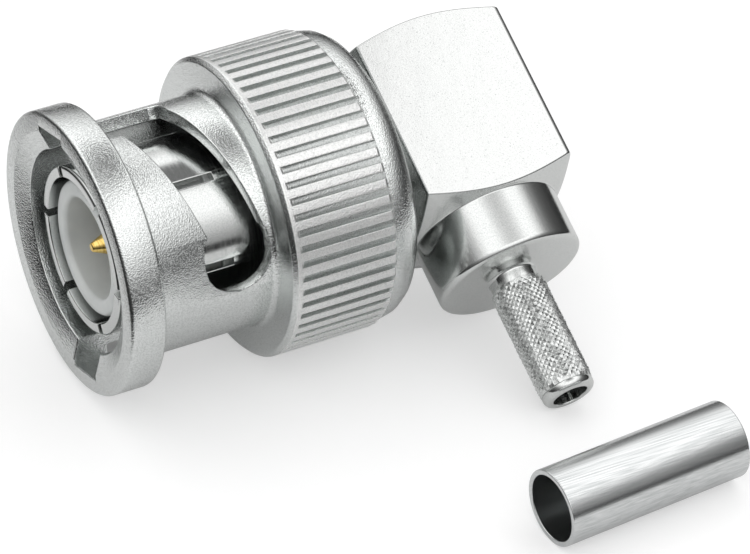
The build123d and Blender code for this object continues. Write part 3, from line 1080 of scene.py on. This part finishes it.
def makeFloor():
    bm = bmesh.new()
    bmesh.ops.create_grid(bm, x_segments=1, y_segments=1, size=paper["size"] / 2 * mm)
    bmesh.ops.translate(bm, verts=bm.verts, vec=(0, 0, cadLow.z))
    mesh = bpy.data.meshes.new("floor")
    bm.to_mesh(mesh)
    bm.free()
    floor = bpy.data.objects.new("floor", mesh)
    scene.collection.objects.link(floor)
    material, tree, shader = newMaterial("paperFloor")
    shader.inputs["Base Color"].default_value = (*paper["colour"], 1)
    shader.inputs["Roughness"].default_value = paper["roughness"]
    shader.inputs["Specular IOR Level"].default_value = 0.0

    def away(centre, edge, stretch=1.0):
        # From 0 near a point of the floor to 1 far from it, where Y counts less by a stretch
        spot = addNode(tree, "Mapping", Vector=addNode(tree, "TexCoord").outputs["Object"])
        spot.inputs["Scale"].default_value = (1, 1 / stretch, 0)
        spot.inputs["Location"].default_value = (-centre[0] * mm, -centre[1] * mm / stretch, 0)
        length = vectorMath(tree, "LENGTH", spot.outputs["Vector"])["Value"]
        return remap(tree, length, edge[0] * mm, edge[1] * mm, 0.0, 1.0)

    paths = addNode(tree, "LightPath")
    seen = math(tree, "MAXIMUM", paths.outputs["Is Camera Ray"], paths.outputs["Is Transmission Ray"])
    # Painted shadow on the floor under the mouth, where the lift fades out
    seen = math(tree, "MULTIPLY", seen, away(paper["shadowSpotCentre"], paper["shadowSpotEdge"]))
    gleam = math(tree, "MULTIPLY", paths.outputs["Is Glossy Ray"], paper["gleam"])
    lift = math(tree, "ADD", math(tree, "MULTIPLY", seen, paper["lift"]), gleam)
    glow = addNode(tree, "Emission", Strength=lift)
    both = tree.nodes.new("ShaderNodeAddShader")
    tree.links.new(shader.outputs[0], both.inputs[0])
    tree.links.new(glow.outputs[0], both.inputs[1])
    edge = away(paper["boardCentre"], paper["boardEdge"], paper["boardStretch"])
    dark = addNode(tree, "Emission", Color=(paper["beyond"],) * 3 + (1,))
    ending = addNode(tree, "MixShader", Fac=math(tree, "MULTIPLY", edge, paths.outputs["Is Glossy Ray"]))
    tree.links.new(both.outputs[0], ending.inputs[1])
    tree.links.new(dark.outputs[0], ending.inputs[2])
    tree.links.new(ending.outputs[0], tree.nodes["Material Output"].inputs["Surface"])
    mesh.materials.append(material)


makeFloor()

# Bright ring of the tent: light is told by how far a direction leans, in an oval that is wider along Y
oval = {"alongX": 0.62, "alongY": 0.77}


def lean(tree, direction):
    # 0 straight up, 1 on the oval ring
    parts = addNode(tree, "SeparateXYZ", Vector=direction)
    across = math(tree, "DIVIDE", parts.outputs["X"], oval["alongX"])
    along = math(tree, "DIVIDE", parts.outputs["Y"], oval["alongY"])
    square = math(tree, "ADD", math(tree, "MULTIPLY", across, across), math(tree, "MULTIPLY", along, along))
    return math(tree, "SQRT", square, 0.0), parts.outputs["Z"]


def greyRamp(tree, amount, stops):
    ramp = addNode(tree, "ValToRGB", Fac=amount)
    elements = ramp.color_ramp.elements
    while len(elements) < len(stops):
        elements.new(0.5)
    for element, (place, grey) in zip(elements, stops):
        element.position = place
        element.color = (grey, grey, grey, 1)
    return ramp.outputs["Color"]


def hangVeil(name, bm, place, size, tone, cover):
    # A dark sheet that the metal alone sees, solid where its cover is 1 and clear where it is 0
    mesh = bpy.data.meshes.new(name)
    bm.to_mesh(mesh)
    bm.free()
    sheet = bpy.data.objects.new(name, mesh)
    sheet.location = place
    sheet.scale = size
    scene.collection.objects.link(sheet)
    for kind in ("camera", "diffuse", "shadow", "transmission", "volume_scatter"):
        setattr(sheet, "visible_" + kind, False)
    material, tree, shader = newMaterial(name)
    tree.nodes.remove(shader)
    dark = addNode(tree, "Emission", Color=(tone,) * 3 + (1,))
    clear = addNode(tree, "BsdfTransparent")
    mix = addNode(tree, "MixShader", Fac=cover(tree, addNode(tree, "TexCoord").outputs["Object"]))
    tree.links.new(clear.outputs[0], mix.inputs[1])
    tree.links.new(dark.outputs[0], mix.inputs[2])
    tree.links.new(mix.outputs[0], tree.nodes["Material Output"].inputs["Surface"])
    mesh.materials.append(material)


# Dark screen round the plug: solid at the foot and clear at the top
screen = {
    "centre": (10.0, -7.0),
    "radius": 48.0,
    "height": 80.0,
    "tone": 0.035,
    "leanStops": [(0.50, 0.0), (0.60, 0.25), (0.66, 0.62), (0.72, 0.86), (0.80, 1.0)],  # half of the lean
    "riseStops": [(0.10, 1.0), (0.36, 0.0)],  # sine of the elevation
}


def makeScreen():
    bm = bmesh.new()
    low = bm.verts.new((screen["radius"], 0, 0))
    high = bm.verts.new((screen["radius"], 0, screen["height"]))
    edge = bm.edges.new((low, high))
    bmesh.ops.spin(bm, geom=[low, high, edge], axis=(0, 0, 1), cent=(0, 0, 0), angle=2 * pi, steps=96,
                   use_merge=True)
    bmesh.ops.scale(bm, verts=bm.verts, vec=(mm, mm, mm))

    def cover(tree, place):
        leaning, rise = lean(tree, vectorMath(tree, "NORMALIZE", place)["Vector"])
        outer = greyRamp(tree, math(tree, "DIVIDE", leaning, 2.0), screen["leanStops"])
        foot = greyRamp(tree, rise, screen["riseStops"])
        return math(tree, "MAXIMUM", outer, foot)

    centreX, centreY = screen["centre"]
    hangVeil("darkScreen", bm, (centreX * mm, centreY * mm, cadLow.z), (1, 1, 1), screen["tone"], cover)


makeScreen()

# Dark card overhead, which darkens what faces up on the flange and the barrel
card = {"centre": (24.0, 13.0, 57.0), "reach": (16.0, 29.0), "tone": 0.20, "soft": (0.60, 1.0)}


def makeCard():
    bm = bmesh.new()
    bmesh.ops.create_circle(bm, cap_ends=True, segments=48, radius=1.0)

    def cover(tree, place):
        return remap(tree, vectorMath(tree, "LENGTH", place)["Value"], *card["soft"], 1.0, 0.0)

    reachX, reachY = card["reach"]
    hangVeil("darkCard", bm, Vector(card["centre"]) * mm, (reachX * mm, reachY * mm, 1), card["tone"], cover)


makeCard()

# World: pale tent, a little darker overhead and brightest in an oval ring
tent = {"stops": [(0.08, 0.54), (0.20, 0.80), (0.34, 1.36), (0.52, 1.34), (0.66, 0.80)], "strength": 1.0}


def makeWorld():
    world = bpy.data.worlds.new("softTent")
    world.use_nodes = True
    scene.world = world
    tree = world.node_tree
    background = tree.nodes["Background"]
    leaning = lean(tree, addNode(tree, "TexCoord").outputs["Generated"])[0]
    tone = greyRamp(tree, math(tree, "DIVIDE", leaning, 2.0), tent["stops"])
    tree.links.new(tone, background.inputs["Color"])
    background.inputs["Strength"].default_value = tent["strength"]


makeWorld()
print("studio made")
